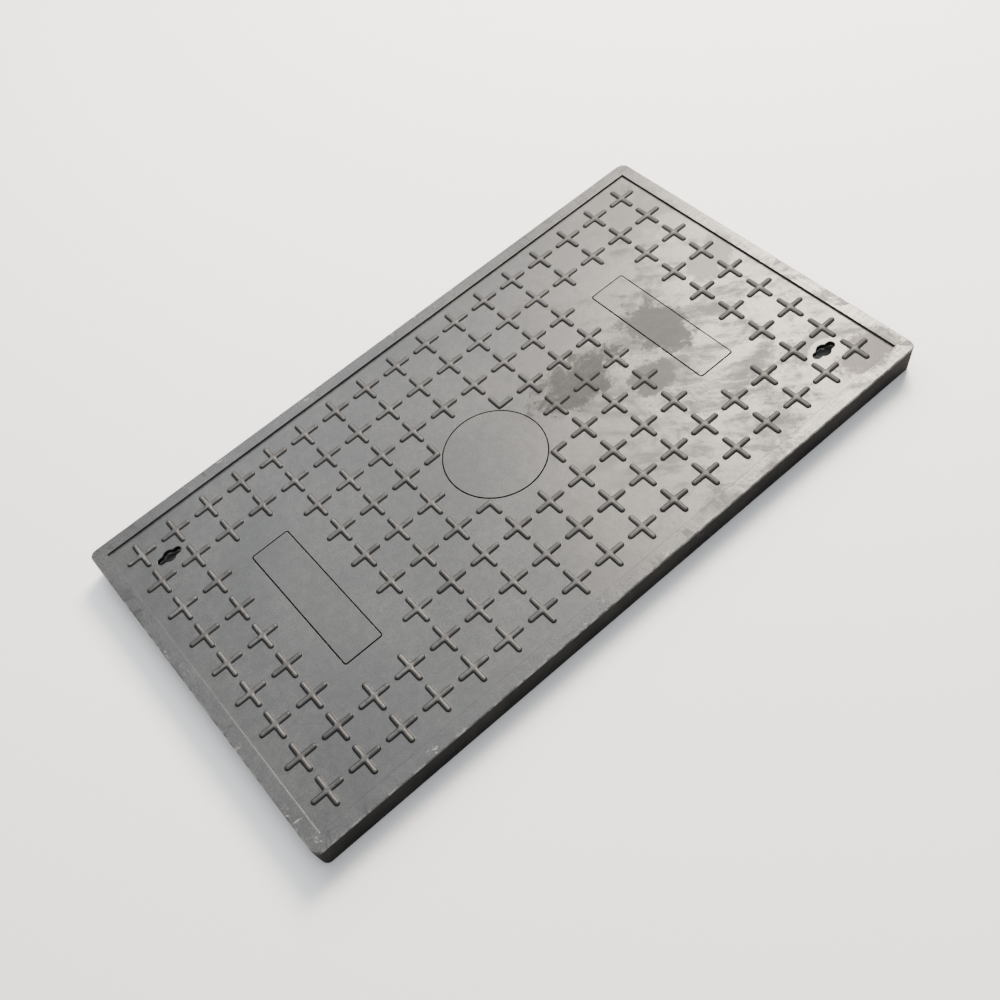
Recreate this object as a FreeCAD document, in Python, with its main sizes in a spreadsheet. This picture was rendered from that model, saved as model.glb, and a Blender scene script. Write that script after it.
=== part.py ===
# Rectangular composite manhole cover, 900 x 500 x 40 mm: a ribbed resin moulding with a tread of
# raised crosses, a steel bar cage cast into its ribs, blank inlays on top and two keyholes at
# opposite corners, each backed by a steel plate that a lifting key hooks under.
#
# Frame: millimetres, +Z up, origin on the ground plane under the centre of the cover,
# +X along its long side, +Y along its short side.
import FreeCAD, Part
import math
import os
import Sketcher

from FreeCAD import Placement, Rotation, Vector

QUARTER_TURN = math.pi / 2

# ---------------------------------------------------------------------------------------------
# Driving dimensions
# ---------------------------------------------------------------------------------------------
DRIVING_SIZES = {
    # the slab
    "slab_length": 900,          # along X, across the top edges
    "slab_width": 500,           # along Y, across the top edges
    "slab_thickness": 40,        # ground to the top of the rim
    "side_draft": 2,             # how far the foot of each side stands in from its top edge
    "corner_radius": 10,         # upright corners, at the top
    "top_edge_radius": 1.5,
    "foot_edge_radius": 2,
    "rim_width": 18,             # flat border round the tread
    "field_depth": 3,            # tread field below the rim, and the height of a cross
    "field_corner_radius": 1.5,
    # the ribbed underside
    "deck_thickness": 9,         # plate under the tread field
    "skirt_width": 24,           # outer wall, at the top edges
    "rib_width": 16,
    "rib_spacing": 142,          # widest distance between two rib lines
    # the tread
    "cross_pitch": 50,
    "cross_margin": 50,          # least distance from the cover's edge to a cross centre
    "arm_span": 42,              # tip to tip, at the foot
    "arm_width": 7,              # at the foot
    "arm_slope": 1.5,            # how far each flank leans in from foot to top
    # the inlays
    "badge_diameter": 130,
    "badge_clearance": 2,        # bare field kept round the badge
    "nameplate_length": 195,     # along Y
    "nameplate_breadth": 53,     # along X
    "nameplate_corner": 3,
    "nameplate_clearance": 2,    # bare field kept round each nameplate
    "nameplate_inset": 2.5,      # from the last cross row to the plate's middle, in pitches
    "inlay_thickness": 4,
    "inlay_proud": 0.3,          # stands above the field
    "inlay_gap": 0.5,            # all round each inlay
    # the keyholes
    "key_slot_length": 33,
    "key_slot_width": 9.5,
    "key_eye_diameter": 17,      # round middle of the keyhole
    "key_rim_chamfer": 0.8,
    "key_plate_length": 60,
    "key_plate_width": 50,
    "key_plate_thickness": 3,
    "key_plate_corner": 5,
    "key_plate_gap": 0.5,        # round the plate in its recess
    "key_plate_room": 1,         # from the recess to the nearest rib
    # the countersunk screws that hold the key plates
    "screw_diameter": 4,
    "screw_head_diameter": 8,
    "screw_head_height": 2,
    "screw_cover": 1,            # resin left over the tip of a screw's hole
    "screw_inset": 6,            # screw axis from the end of the plate
    "screw_play": 0.05,          # radial, in the moulding
    "screw_tip_room": 0.5,
    "recess_span": 4.4,          # cross recess in the head
    "recess_width": 1,
    "recess_depth": 1.4,
    # the bar cage
    "bar_diameter": 8,
    "bar_end_cover": 8,          # resin past the end of a bar, at the top edges
    "bar_foot_cover": 6,         # resin under the lower layer
    "bar_layer_gap": 1,          # resin between the two layers
}

# Places worked out from the driving dimensions, each as a formula that features refer to.
LAYOUT = {
    "field_level": "sizes.slab_thickness - sizes.field_depth",
    "deck_level": "layout.field_level - sizes.deck_thickness",
    "foot_length": "sizes.slab_length - 2 * sizes.side_draft",
    "foot_width": "sizes.slab_width - 2 * sizes.side_draft",
    "cavity_length": "sizes.slab_length - 2 * sizes.skirt_width",
    "cavity_width": "sizes.slab_width - 2 * sizes.skirt_width",
    "outer_row": "floor((sizes.slab_length / 2 - sizes.cross_margin) / sizes.cross_pitch)"
                 " * sizes.cross_pitch",
    "outer_column": "floor((sizes.slab_width / 2 - sizes.cross_margin) / sizes.cross_pitch)"
                    " * sizes.cross_pitch",
    "nameplate_place": "layout.outer_row - sizes.nameplate_inset * sizes.cross_pitch",
    "inlay_floor": "layout.field_level + sizes.inlay_proud - sizes.inlay_thickness",
    "keyhole_x": "layout.outer_row - sizes.cross_pitch / 2",
    "keyhole_y": "-(layout.outer_column - sizes.cross_pitch / 2)",
    "screw_reach": "sizes.key_plate_length / 2 - sizes.screw_inset",
    "screw_hole_depth": "sizes.deck_thickness - sizes.screw_cover",
    "screw_length": "layout.screw_hole_depth - sizes.screw_tip_room",
    "outer_rib_x": "layout.keyhole_x - sizes.key_plate_length / 2 - sizes.key_plate_gap"
                   " - sizes.key_plate_room - sizes.rib_width / 2",
    "outer_rib_y": "-layout.keyhole_y - sizes.key_plate_width / 2 - sizes.key_plate_gap"
                   " - sizes.key_plate_room - sizes.rib_width / 2",
    "bays_along": "ceil(2 * layout.outer_rib_x / sizes.rib_spacing)",
    "bays_across": "ceil(2 * layout.outer_rib_y / sizes.rib_spacing)",
    "skirt_line_x": "(sizes.slab_length - sizes.skirt_width) / 2",
    "skirt_line_y": "(sizes.slab_width - sizes.skirt_width) / 2",
    "long_bar_level": "sizes.bar_foot_cover + sizes.bar_diameter / 2",
    "cross_bar_level": "layout.long_bar_level + sizes.bar_diameter + sizes.bar_layer_gap",
    "long_bar_length": "sizes.slab_length - 2 * sizes.bar_end_cover",
    "cross_bar_length": "sizes.slab_width - 2 * sizes.bar_end_cover",
}

doc = FreeCAD.newDocument("manhole_cover")

sizes = doc.addObject("Spreadsheet::Sheet", "sizes")
for line, (alias, value) in enumerate(DRIVING_SIZES.items(), start=1):
    sizes.set(f"A{line}", alias)
    sizes.set(f"B{line}", str(value))
    sizes.setAlias(f"B{line}", alias)
doc.recompute()

layout = doc.addObject("App::VarSet", "layout")
for name, formula in LAYOUT.items():
    layout.addProperty("App::PropertyFloat", name, "Layout")
    layout.setExpression(name, formula)
    doc.recompute()


# ---------------------------------------------------------------------------------------------
# Sketch and feature helpers
# ---------------------------------------------------------------------------------------------
def bind(thing, **formulas):
    """Ties properties of an object to formulas."""
    for name, formula in formulas.items():
        thing.setExpression(name, formula)


def place(thing, x="0", y="0", z="0"):
    """Ties an object's position to formulas."""
    bind(thing, **{"Placement.Base.x": x, "Placement.Base.y": y, "Placement.Base.z": z})


def new_body(name):
    body = doc.addObject("PartDesign::Body", name)
    body.Label = name
    return body


def new_sketch(body, name, x="0", y="0", z="0"):
    """A level sketch whose own origin is at (x, y, z)."""
    sketch = body.newObject("Sketcher::SketchObject", name)
    level = next(item for item in body.Origin.OriginFeatures if item.Role == "XY_Plane")
    sketch.AttachmentSupport = [(level, "")]
    sketch.MapMode = "FlatFace"
    for axis, formula in zip("xyz", (x, y, z)):
        sketch.setExpression(f"AttachmentOffset.Base.{axis}", formula)
    return sketch


def name_size(sketch, constraint, name, formula):
    """Names a sketch constraint and ties it to a formula."""
    sketch.renameConstraint(constraint, name)
    sketch.setExpression(f"Constraints.{name}", formula)


def draw_rectangle(sketch, along_x, along_y, corner=None):
    """Draws a rectangle centred on the sketch's origin, its corners round where corner is given.

    It is drawn at a handy size first, and its constraints then bring it to the real one.
    """
    reach_x, reach_y, bend = 30, 20, 5 if corner else 0
    ends = [(bend - reach_x, -reach_y, reach_x - bend, -reach_y),
            (reach_x, bend - reach_y, reach_x, reach_y - bend),
            (reach_x - bend, reach_y, bend - reach_x, reach_y),
            (-reach_x, reach_y - bend, -reach_x, bend - reach_y)]
    sides = [sketch.addGeometry(Part.LineSegment(Vector(ax, ay, 0), Vector(bx, by, 0)), False)
             for ax, ay, bx, by in ends]
    for side, direction in zip(sides, ("Horizontal", "Vertical") * 2):
        sketch.addConstraint(Sketcher.Constraint(direction, side))
    if corner:
        bends = []
        for quarter, (sign_x, sign_y) in enumerate(((1, -1), (1, 1), (-1, 1), (-1, -1))):
            centre = Vector(sign_x * (reach_x - bend), sign_y * (reach_y - bend), 0)
            circle = Part.Circle(centre, Vector(0, 0, 1), bend)
            start = (quarter - 1) * QUARTER_TURN
            arc = Part.ArcOfCircle(circle, start, start + QUARTER_TURN)
            bends.append(sketch.addGeometry(arc, False))
        for quarter, arc in enumerate(bends):
            sketch.addConstraint(Sketcher.Constraint("Tangent", sides[quarter], 2, arc, 1))
            following = sides[(quarter + 1) % 4]
            sketch.addConstraint(Sketcher.Constraint("Tangent", arc, 2, following, 1))
        for arc in bends[1:]:
            sketch.addConstraint(Sketcher.Constraint("Equal", bends[0], arc))
        radius = sketch.addConstraint(Sketcher.Constraint("Radius", bends[0], bend))
        name_size(sketch, radius, "corner", corner)
        middle = Sketcher.Constraint("Symmetric", bends[0], 3, bends[2], 3, -1, 1)
    else:
        for quarter in range(4):
            following = sides[(quarter + 1) % 4]
            sketch.addConstraint(
                Sketcher.Constraint("Coincident", sides[quarter], 2, following, 1))
        middle = Sketcher.Constraint("Symmetric", sides[0], 1, sides[2], 1, -1, 1)
    sketch.addConstraint(middle)
    breadth = sketch.addConstraint(
        Sketcher.Constraint("DistanceX", sides[3], 1, sides[1], 1, 2 * reach_x))
    depth = sketch.addConstraint(
        Sketcher.Constraint("DistanceY", sides[0], 1, sides[2], 1, 2 * reach_y))
    name_size(sketch, breadth, "along_x", along_x)
    name_size(sketch, depth, "along_y", along_y)


def draw_circle(sketch, diameter):
    """Draws a circle round the sketch's origin."""
    circle = sketch.addGeometry(Part.Circle(Vector(0, 0, 0), Vector(0, 0, 1), 5), False)
    sketch.addConstraint(Sketcher.Constraint("Coincident", circle, 3, -1, 1))
    across = sketch.addConstraint(Sketcher.Constraint("Diameter", circle, 10))
    name_size(sketch, across, "diameter", diameter)


def draw_circle_pair(sketch, diameter, reach):
    """Draws two equal circles on the sketch's X axis, one each side of its origin."""
    pair = [sketch.addGeometry(Part.Circle(Vector(side * 10, 0, 0), Vector(0, 0, 1), 2), False)
            for side in (-1, 1)]
    sketch.addConstraint(Sketcher.Constraint("Symmetric", pair[0], 3, pair[1], 3, -1, 1))
    sketch.addConstraint(Sketcher.Constraint("PointOnObject", pair[1], 3, -1))
    sketch.addConstraint(Sketcher.Constraint("Equal", pair[0], pair[1]))
    offset = sketch.addConstraint(Sketcher.Constraint("DistanceX", -1, 1, pair[1], 3, 10))
    across = sketch.addConstraint(Sketcher.Constraint("Diameter", pair[0], 4))
    name_size(sketch, offset, "reach", reach)
    name_size(sketch, across, "diameter", diameter)


def draw_slot(sketch, length, width):
    """Draws a round-ended slot along the sketch's X axis, centred on its origin."""
    reach, radius = 12, 5
    right, left = (
        sketch.addGeometry(Part.ArcOfCircle(
            Part.Circle(Vector(side * reach, 0, 0), Vector(0, 0, 1), radius),
            start, start + 2 * QUARTER_TURN), False)
        for side, start in ((1, -QUARTER_TURN), (-1, QUARTER_TURN)))
    far = sketch.addGeometry(
        Part.LineSegment(Vector(reach, radius, 0), Vector(-reach, radius, 0)), False)
    near = sketch.addGeometry(
        Part.LineSegment(Vector(-reach, -radius, 0), Vector(reach, -radius, 0)), False)
    for first, last in ((right, far), (far, left), (left, near), (near, right)):
        sketch.addConstraint(Sketcher.Constraint("Tangent", first, 2, last, 1))
    sketch.addConstraint(Sketcher.Constraint("Symmetric", left, 3, right, 3, -1, 1))
    sketch.addConstraint(Sketcher.Constraint("Horizontal", far))
    span = sketch.addConstraint(Sketcher.Constraint("DistanceX", -1, 1, right, 3, reach))
    end = sketch.addConstraint(Sketcher.Constraint("Radius", right, radius))
    name_size(sketch, span, "reach", f"({length} - {width}) / 2")
    name_size(sketch, end, "end", f"{width} / 2")


def pad(body, sketch, name, height):
    feature = body.newObject("PartDesign::Pad", name)
    feature.Profile = sketch
    bind(feature, Length=height)
    doc.recompute()
    return feature


def pocket(body, sketch, name, depth, upwards=False):
    """Cuts a profile downwards by depth, or upwards, and makes sure that it cut something."""
    before = body.Shape.Volume
    feature = body.newObject("PartDesign::Pocket", name)
    feature.Profile = sketch
    feature.Reversed = upwards
    bind(feature, Length=depth)
    doc.recompute()
    if not body.Shape.Volume < before:
        raise RuntimeError(f"{name} cuts nothing")
    return feature


def along(body, role):
    """One of the body's own axes, as a pattern direction."""
    return (next(item for item in body.Origin.OriginFeatures if item.Role == role), [""])


def line_pattern(body, name, original, role, length, count):
    pattern = body.newObject("PartDesign::LinearPattern", name)
    pattern.Originals = [original]
    pattern.Direction = along(body, role)
    bind(pattern, Length=length, Occurrences=count)
    body.Tip = pattern
    doc.recompute()
    return pattern


def half_turn_pattern(body, name, originals):
    """Repeats features at the opposite side of the upright axis."""
    pattern = body.newObject("PartDesign::PolarPattern", name)
    pattern.Originals = originals
    pattern.Axis = along(body, "Z_Axis")
    pattern.Angle = 360
    pattern.Occurrences = 2
    body.Tip = pattern
    doc.recompute()
    return pattern


def edges_where(shape, wanted):
    """Names of the shape's edges whose every vertex passes the test."""
    return [f"Edge{number}" for number, edge in enumerate(shape.Edges, start=1)
            if all(wanted(vertex.Point) for vertex in edge.Vertexes)]


def dress_edges(body, kind, name, edges, **formulas):
    """Adds a Fillet or Chamfer on the named edges of the body as it stands."""
    base = body.Tip
    feature = body.newObject(f"PartDesign::{kind}", name)
    feature.Base = (base, edges)
    bind(feature, **formulas)
    doc.recompute()
    return feature


# ---------------------------------------------------------------------------------------------
# The moulding without its tread: slab, underside, inlay seats and keyholes
# ---------------------------------------------------------------------------------------------
def make_slab(body):
    """The outer block, wider at the top than at the foot, with its edges rounded."""
    outline = new_sketch(body, "slab_outline")
    draw_rectangle(outline, "layout.foot_length", "layout.foot_width",
                   "sizes.corner_radius - sizes.side_draft")
    slab = pad(body, outline, "slab", "sizes.slab_thickness")
    bind(slab, TaperAngle="atan(sizes.side_draft / sizes.slab_thickness)")
    doc.recompute()
    top = sizes.slab_thickness
    dress_edges(body, "Fillet", "top_edge_rounding",
                edges_where(body.Shape, lambda point: abs(point.z - top) < 0.01),
                Radius="sizes.top_edge_radius")
    dress_edges(body, "Fillet", "foot_edge_rounding",
                edges_where(body.Shape, lambda point: abs(point.z) < 0.01),
                Radius="sizes.foot_edge_radius")


def make_field(body):
    """The sunk field that the tread stands in."""
    outline = new_sketch(body, "field_outline", z="sizes.slab_thickness")
    draw_rectangle(outline, "sizes.slab_length - 2 * sizes.rim_width",
                   "sizes.slab_width - 2 * sizes.rim_width", "sizes.field_corner_radius")
    pocket(body, outline, "field", "sizes.field_depth")


def make_underside(body):
    """One cavity under the plate, divided by ribs both ways."""
    outline = new_sketch(body, "cavity_outline")
    draw_rectangle(outline, "layout.cavity_length", "layout.cavity_width")
    pocket(body, outline, "cavity", "layout.deck_level", upwards=True)
    cross_rib = new_sketch(body, "cross_rib_outline", x="-layout.outer_rib_x")
    draw_rectangle(cross_rib, "sizes.rib_width", "layout.cavity_width + sizes.skirt_width / 2")
    rib = pad(body, cross_rib, "cross_rib", "layout.deck_level + sizes.deck_thickness / 2")
    line_pattern(body, "cross_ribs", rib, "X_Axis", "2 * layout.outer_rib_x",
                 "layout.bays_along + 1")
    long_rib = new_sketch(body, "long_rib_outline", y="-layout.outer_rib_y")
    draw_rectangle(long_rib, "layout.cavity_length + sizes.skirt_width / 2", "sizes.rib_width")
    rib = pad(body, long_rib, "long_rib", "layout.deck_level + sizes.deck_thickness / 2")
    line_pattern(body, "long_ribs", rib, "Y_Axis", "2 * layout.outer_rib_y",
                 "layout.bays_across + 1")


def make_seats(body):
    """Seats for the badge and the nameplates, and the keyholes with the seats of their plates."""
    badge_seat = new_sketch(body, "badge_seat_outline", z="layout.field_level")
    draw_circle(badge_seat, "sizes.badge_diameter + 2 * sizes.inlay_gap")
    pocket(body, badge_seat, "badge_seat", "layout.field_level - layout.inlay_floor")

    plate_seat = new_sketch(body, "nameplate_seat_outline",
                            x="layout.nameplate_place", z="layout.field_level")
    draw_rectangle(plate_seat, "sizes.nameplate_breadth + 2 * sizes.inlay_gap",
                   "sizes.nameplate_length + 2 * sizes.inlay_gap",
                   "sizes.nameplate_corner + sizes.inlay_gap")
    seat = pocket(body, plate_seat, "nameplate_seat", "layout.field_level - layout.inlay_floor")
    half_turn_pattern(body, "nameplate_seats", [seat])

    at_keyhole = {"x": "layout.keyhole_x", "y": "layout.keyhole_y"}
    slot = new_sketch(body, "key_slot_outline", z="layout.field_level", **at_keyhole)
    draw_slot(slot, "sizes.key_slot_length", "sizes.key_slot_width")
    slot_cut = pocket(body, slot, "key_slot", "sizes.deck_thickness")
    eye = new_sketch(body, "key_eye_outline", z="layout.field_level", **at_keyhole)
    draw_circle(eye, "sizes.key_eye_diameter")
    eye_cut = pocket(body, eye, "key_eye", "sizes.deck_thickness")
    recess = new_sketch(body, "key_plate_seat_outline", z="layout.deck_level", **at_keyhole)
    draw_rectangle(recess, "sizes.key_plate_length + 2 * sizes.key_plate_gap",
                   "sizes.key_plate_width + 2 * sizes.key_plate_gap",
                   "sizes.key_plate_corner + sizes.key_plate_gap")
    recess_cut = pocket(body, recess, "key_plate_seat", "sizes.key_plate_thickness", upwards=True)
    screw_holes = new_sketch(body, "screw_hole_outline", z="layout.deck_level", **at_keyhole)
    draw_circle_pair(screw_holes, "sizes.screw_diameter + 2 * sizes.screw_play", "layout.screw_reach")
    holes_cut = pocket(body, screw_holes, "screw_holes", "layout.screw_hole_depth", upwards=True)
    half_turn_pattern(body, "keyholes", [slot_cut, eye_cut, recess_cut, holes_cut])

    reach_x, reach_y = sizes.key_slot_length / 2 + 1, sizes.key_eye_diameter / 2 + 1

    def on_keyhole_rim(point):
        return (abs(point.z - layout.field_level) < 0.01
                and abs(abs(point.x) - layout.keyhole_x) < reach_x
                and abs(abs(point.y) + layout.keyhole_y) < reach_y)

    dress_edges(body, "Chamfer", "keyhole_rims", edges_where(body.Shape, on_keyhole_rim),
                Size="sizes.key_rim_chamfer")


def make_moulding():
    body = new_body("moulding")
    make_slab(body)
    make_field(body)
    make_underside(body)
    make_seats(body)
    return body


# ---------------------------------------------------------------------------------------------
# The tread of raised crosses
# ---------------------------------------------------------------------------------------------
DIRECTIONS = [Vector(1, 0, 0), Vector(0, 1, 0), Vector(-1, 0, 0), Vector(0, -1, 0)]


def cross_outline(arms, reach, half_width, level):
    """Closed outline at a level: round-tipped arms in the given directions, square between them."""
    lift = Vector(0, 0, level)
    edges = []
    for number, ahead in enumerate(DIRECTIONS):
        side = DIRECTIONS[(number + 1) % 4]
        before = (ahead - side) * half_width + lift
        after = (ahead + side) * half_width + lift
        if ahead in arms:
            tip = ahead * reach + lift
            shoulder = ahead * (reach - half_width) + lift
            right, left = shoulder - side * half_width, shoulder + side * half_width
            edges += [Part.LineSegment(before, right).toShape(),
                      Part.Arc(right, tip, left).toShape(),
                      Part.LineSegment(left, after).toShape()]
        else:
            edges.append(Part.LineSegment(before, after).toShape())
    return Part.Wire(edges)


def make_cross(arms):
    """A raised cross with leaning flanks, its foot on the level of the origin."""
    foot = cross_outline(arms, sizes.arm_span / 2, sizes.arm_width / 2, 0)
    top = cross_outline(arms, sizes.arm_span / 2 - sizes.arm_slope,
                       sizes.arm_width / 2 - sizes.arm_slope, sizes.field_depth)
    return Part.makeLoft([foot, top], True, True)


def clear_of_inlays(point):
    """Whether a piece of tread at a point leaves the badge and the nameplates bare."""
    from_badge = point.Length - sizes.badge_diameter / 2
    beside = (abs(abs(point.x) - layout.nameplate_place)
              - (sizes.nameplate_breadth + sizes.arm_width) / 2)
    beyond = abs(point.y) - (sizes.nameplate_length + sizes.arm_width) / 2
    return from_badge > sizes.badge_clearance and max(beside, beyond) > sizes.nameplate_clearance


def tread_places():
    """Yields the centre and the arm directions of each cross that the inlays leave room for."""
    rows = round(layout.outer_row / sizes.cross_pitch)
    columns = round(layout.outer_column / sizes.cross_pitch)
    for row in range(-rows, rows + 1):
        for column in range(-columns, columns + 1):
            centre = Vector(row * sizes.cross_pitch, column * sizes.cross_pitch, 0)
            if clear_of_inlays(centre):
                yield centre, [ahead for ahead in DIRECTIONS
                               if clear_of_inlays(centre + ahead * (sizes.arm_span / 2))]


def make_tread():
    """All the crosses, standing on the field."""
    patterns = {}
    crosses = []
    for centre, arms in tread_places():
        key = tuple((arm.x, arm.y) for arm in arms)
        if key not in patterns:
            patterns[key] = make_cross(arms)
        cross = patterns[key].copy()
        cross.translate(centre + Vector(0, 0, layout.field_level))
        crosses.append(cross)
    tread = doc.addObject("Part::Feature", "tread")
    tread.Shape = Part.makeCompound(crosses)
    return tread


# ---------------------------------------------------------------------------------------------
# The steel bar cage
# ---------------------------------------------------------------------------------------------
def line_places(outer_rib, skirt_line, bays):
    """Formulas for the bar lines: the two skirts and every rib between the outer ribs."""
    ribs = [f"-{outer_rib} + {number} * 2 * {outer_rib} / {bays}" for number in range(bays + 1)]
    return [f"-{skirt_line}", *ribs, skirt_line]


def make_bar(name, length, turn, **position):
    bar = doc.addObject("Part::Cylinder", name)
    bar.Label = name
    bar.Placement = Placement(Vector(0, 0, 0), turn)
    bind(bar, Radius="sizes.bar_diameter / 2", Height=length)
    place(bar, **position)
    return bar


def make_cage():
    bars = []
    across = line_places("layout.outer_rib_y", "layout.skirt_line_y", round(layout.bays_across))
    for number, line in enumerate(across, start=1):
        bars.append(make_bar(f"long_bar_{number}", "layout.long_bar_length",
                             Rotation(Vector(0, 1, 0), 90), x="-layout.long_bar_length / 2",
                             y=line, z="layout.long_bar_level"))
    lengthwise = line_places("layout.outer_rib_x", "layout.skirt_line_x", round(layout.bays_along))
    for number, line in enumerate(lengthwise, start=1):
        bars.append(make_bar(f"cross_bar_{number}", "layout.cross_bar_length",
                             Rotation(Vector(1, 0, 0), -90), x=line,
                             y="-layout.cross_bar_length / 2", z="layout.cross_bar_level"))
    return bars


def make_deck(moulding, tread, bars):
    """The finished moulding: tread and slab in one, with the cage cast into it."""
    solid = doc.addObject("Part::Fuse", "moulding_with_tread")
    solid.Base, solid.Tool = moulding, tread
    solid.Refine = False
    cage = doc.addObject("Part::Compound", "cage")
    cage.Links = bars
    deck = doc.addObject("Part::Cut", "deck")
    deck.Label = "deck"
    deck.Base, deck.Tool = solid, cage
    deck.Refine = False
    return deck


# ---------------------------------------------------------------------------------------------
# Inlays
# ---------------------------------------------------------------------------------------------
def make_badge():
    """Blank round inlay in the middle of the cover."""
    body = new_body("centre_badge")
    outline = new_sketch(body, "badge_outline", z="layout.inlay_floor")
    draw_circle(outline, "sizes.badge_diameter")
    pad(body, outline, "badge", "sizes.inlay_thickness")
    return body


def make_nameplate(side, direction):
    """Blank oblong inlay, its long side across the cover."""
    body = new_body(f"nameplate_{side}")
    outline = new_sketch(body, f"nameplate_{side}_outline",
                         x=f"{direction} * layout.nameplate_place", z="layout.inlay_floor")
    draw_rectangle(outline, "sizes.nameplate_breadth", "sizes.nameplate_length",
                   "sizes.nameplate_corner")
    pad(body, outline, f"nameplate_{side}_plate", "sizes.inlay_thickness")
    return body


# ---------------------------------------------------------------------------------------------
# Key plates and their screws
# ---------------------------------------------------------------------------------------------
def make_key_plate(side, direction):
    """Steel plate let into the deck's underside round a keyhole, where a lifting key bears."""
    body = new_body(f"key_plate_{side}")
    where = {"x": f"{direction} * layout.keyhole_x", "y": f"{direction} * layout.keyhole_y",
             "z": "layout.deck_level"}
    outline = new_sketch(body, f"key_plate_{side}_outline", **where)
    draw_rectangle(outline, "sizes.key_plate_length", "sizes.key_plate_width",
                   "sizes.key_plate_corner")
    pad(body, outline, f"key_plate_{side}_blank", "sizes.key_plate_thickness")
    slot = new_sketch(body, f"key_plate_{side}_slot_outline", **where)
    draw_slot(slot, "sizes.key_slot_length", "sizes.key_slot_width")
    pocket(body, slot, f"key_plate_{side}_slot", "sizes.key_plate_thickness", upwards=True)
    eye = new_sketch(body, f"key_plate_{side}_eye_outline", **where)
    draw_circle(eye, "sizes.key_eye_diameter")
    pocket(body, eye, f"key_plate_{side}_eye", "sizes.key_plate_thickness", upwards=True)
    seats = new_sketch(body, f"key_plate_{side}_screw_seats", **where)
    draw_circle_pair(seats, "sizes.screw_diameter", "layout.screw_reach")
    holes = body.newObject("PartDesign::Hole", f"key_plate_{side}_screw_holes")
    holes.Profile = seats
    doc.recompute()
    holes.Reversed = True
    holes.DepthType = "ThroughAll"
    holes.HoleCutType = "Countersink"
    holes.HoleCutCustomValues = True
    bind(holes, Diameter="sizes.screw_diameter", HoleCutDiameter="sizes.screw_head_diameter",
         HoleCutCountersinkAngle="2 * atan((sizes.screw_head_diameter - sizes.screw_diameter)"
                                 " / (2 * sizes.screw_head_height))")
    doc.recompute()
    return body


def make_screw(name, x, y):
    """Countersunk screw driven upwards, with a cross recess in its head."""
    head = doc.addObject("Part::Cone", f"{name}_head")
    bind(head, Radius1="sizes.screw_head_diameter / 2", Radius2="sizes.screw_diameter / 2",
         Height="sizes.screw_head_height")
    place(head, x, y, "layout.deck_level")
    shank = doc.addObject("Part::Cylinder", f"{name}_shank")
    bind(shank, Radius="sizes.screw_diameter / 2",
         Height="layout.screw_length - sizes.screw_head_height")
    place(shank, x, y, "layout.deck_level + sizes.screw_head_height")
    blank = doc.addObject("Part::Fuse", f"{name}_blank")
    blank.Base, blank.Tool = head, shank
    bars = []
    for part, span_x, span_y in (("a", "sizes.recess_span", "sizes.recess_width"),
                                 ("b", "sizes.recess_width", "sizes.recess_span")):
        bar = doc.addObject("Part::Box", f"{name}_recess_{part}")
        bind(bar, Length=span_x, Width=span_y, Height="sizes.recess_depth")
        place(bar, f"{x} - {span_x} / 2", f"{y} - {span_y} / 2", "layout.deck_level")
        bars.append(bar)
    recess = doc.addObject("Part::Fuse", f"{name}_recess")
    recess.Base, recess.Tool = bars
    screw = doc.addObject("Part::Cut", name)
    screw.Base, screw.Tool = blank, recess
    return screw


def make_screws(side, direction):
    """The two screws of one key plate, in one node."""
    pair = [make_screw(f"key_plate_{side}_screw_{letter}",
                       f"{direction} * layout.keyhole_x {sign} layout.screw_reach",
                       f"{direction} * layout.keyhole_y")
            for letter, sign in (("a", "-"), ("b", "+"))]
    group = doc.addObject("Part::Compound", f"key_plate_screws_{side}")
    group.Label = f"key_plate_screws_{side}"
    group.Links = pair
    return group


# ---------------------------------------------------------------------------------------------
# Assembly, checks and files
# ---------------------------------------------------------------------------------------------
SIDES = {"right": 1, "left": -1}

cage_bars = make_cage()
nodes = [make_badge(), *cage_bars]
for side, direction in SIDES.items():
    nodes += [make_nameplate(side, direction), make_key_plate(side, direction),
              make_screws(side, direction)]
nodes.append(make_deck(make_moulding(), make_tread(), cage_bars))
doc.recompute()

for item in doc.Objects:
    if {"Invalid", "Error"} & set(item.State):
        raise RuntimeError(f"{item.Name} failed: {item.State}")
for node in nodes:
    if node.Shape.isNull() or not node.Shape.isValid() or node.Shape.Volume <= 0:
        raise RuntimeError(f"{node.Label} has no valid shape")

os.makedirs("parts", exist_ok=True)
for node in nodes:
    node.Shape.exportStep(f"parts/{node.Label}.step")
    box = node.Shape.BoundBox
    print(f"{node.Label:24s} {len(node.Shape.Solids)} solid(s) {node.Shape.Volume / 1000:10.2f} cm3"
          f"  x {box.XMin:8.2f} {box.XMax:8.2f}  y {box.YMin:8.2f} {box.YMax:8.2f}"
          f"  z {box.ZMin:6.2f} {box.ZMax:6.2f}")
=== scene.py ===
# %% [markdown]
# # A ribbed composite manhole cover
# The cover is one heavy moulding of dark resin and mineral filler, 900 x 500 x 40 mm, with a tread of raised
# crosses, three blank inlays and two keyholes. This lesson rebuilds the moulding as one smooth, closed mesh,
# gives every piece a finish of its own, and lights it like a product on a pale studio floor.

# %% Load the engineering model
import math
import random

import bmesh
import bpy
from mathutils import Matrix, Quaternion, Vector, noise


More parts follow.
